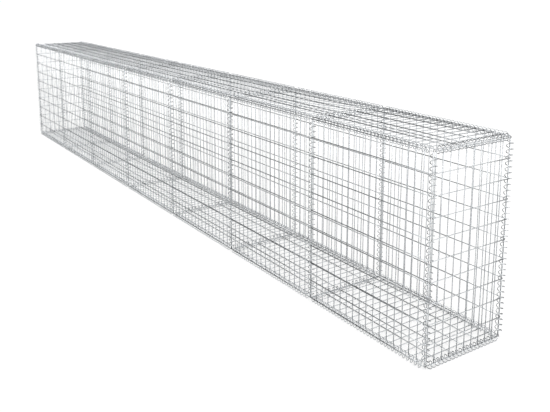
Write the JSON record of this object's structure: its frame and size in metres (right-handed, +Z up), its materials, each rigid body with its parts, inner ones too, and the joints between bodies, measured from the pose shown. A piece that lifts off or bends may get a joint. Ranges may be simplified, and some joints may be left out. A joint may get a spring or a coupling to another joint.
{
  "type": "gabion wall",
  "caption": "Long, low, empty wall basket of welded wire mesh in bays, with lid and floor panels, laced shut along every edge and seam with spiral wire binders.",
  "frame": {"origin": "on the ground, under the middle of the wall", "axes": "+X along the wall, +Y from front to rear through its thickness, +Z up"},
  "size_m": [6.036, 0.536, 1.0361],
  "materials": {
    "mesh_wire": "hot-dip galvanised welded wire, dull grey",
    "spiral_wire": "hot-dip galvanised spring wire, dull grey"
  },
  "bodies": {
    "root": {"floor_cross_spirals": "spiral_wire", "floor_panel_1": "mesh_wire", "floor_panel_2": "mesh_wire", "floor_panel_3": "mesh_wire", "floor_panel_4": "mesh_wire", "floor_panel_5": "mesh_wire", "floor_panel_6": "mesh_wire", "floor_panel_7": "mesh_wire", "front_bottom_spirals": "spiral_wire", "front_panel_1": "mesh_wire", "front_panel_2": "mesh_wire", "front_panel_3": "mesh_wire", "front_panel_4": "mesh_wire", "front_panel_5": "mesh_wire", "front_panel_6": "mesh_wire", "front_panel_7": "mesh_wire", "front_top_spirals": "spiral_wire", "front_upright_spirals": "spiral_wire", "left_end_panel": "mesh_wire", "lid_cross_spirals": "spiral_wire", "lid_panel_1": "mesh_wire", "lid_panel_2": "mesh_wire", "lid_panel_3": "mesh_wire", "lid_panel_4": "mesh_wire", "lid_panel_5": "mesh_wire", "lid_panel_6": "mesh_wire", "lid_panel_7": "mesh_wire", "rear_bottom_spirals": "spiral_wire", "rear_panel_1": "mesh_wire", "rear_panel_2": "mesh_wire", "rear_panel_3": "mesh_wire", "rear_panel_4": "mesh_wire", "rear_panel_5": "mesh_wire", "rear_panel_6": "mesh_wire", "rear_panel_7": "mesh_wire", "rear_top_spirals": "spiral_wire", "rear_upright_spirals": "spiral_wire", "right_end_panel": "mesh_wire"}
  },
  "joints": []
}
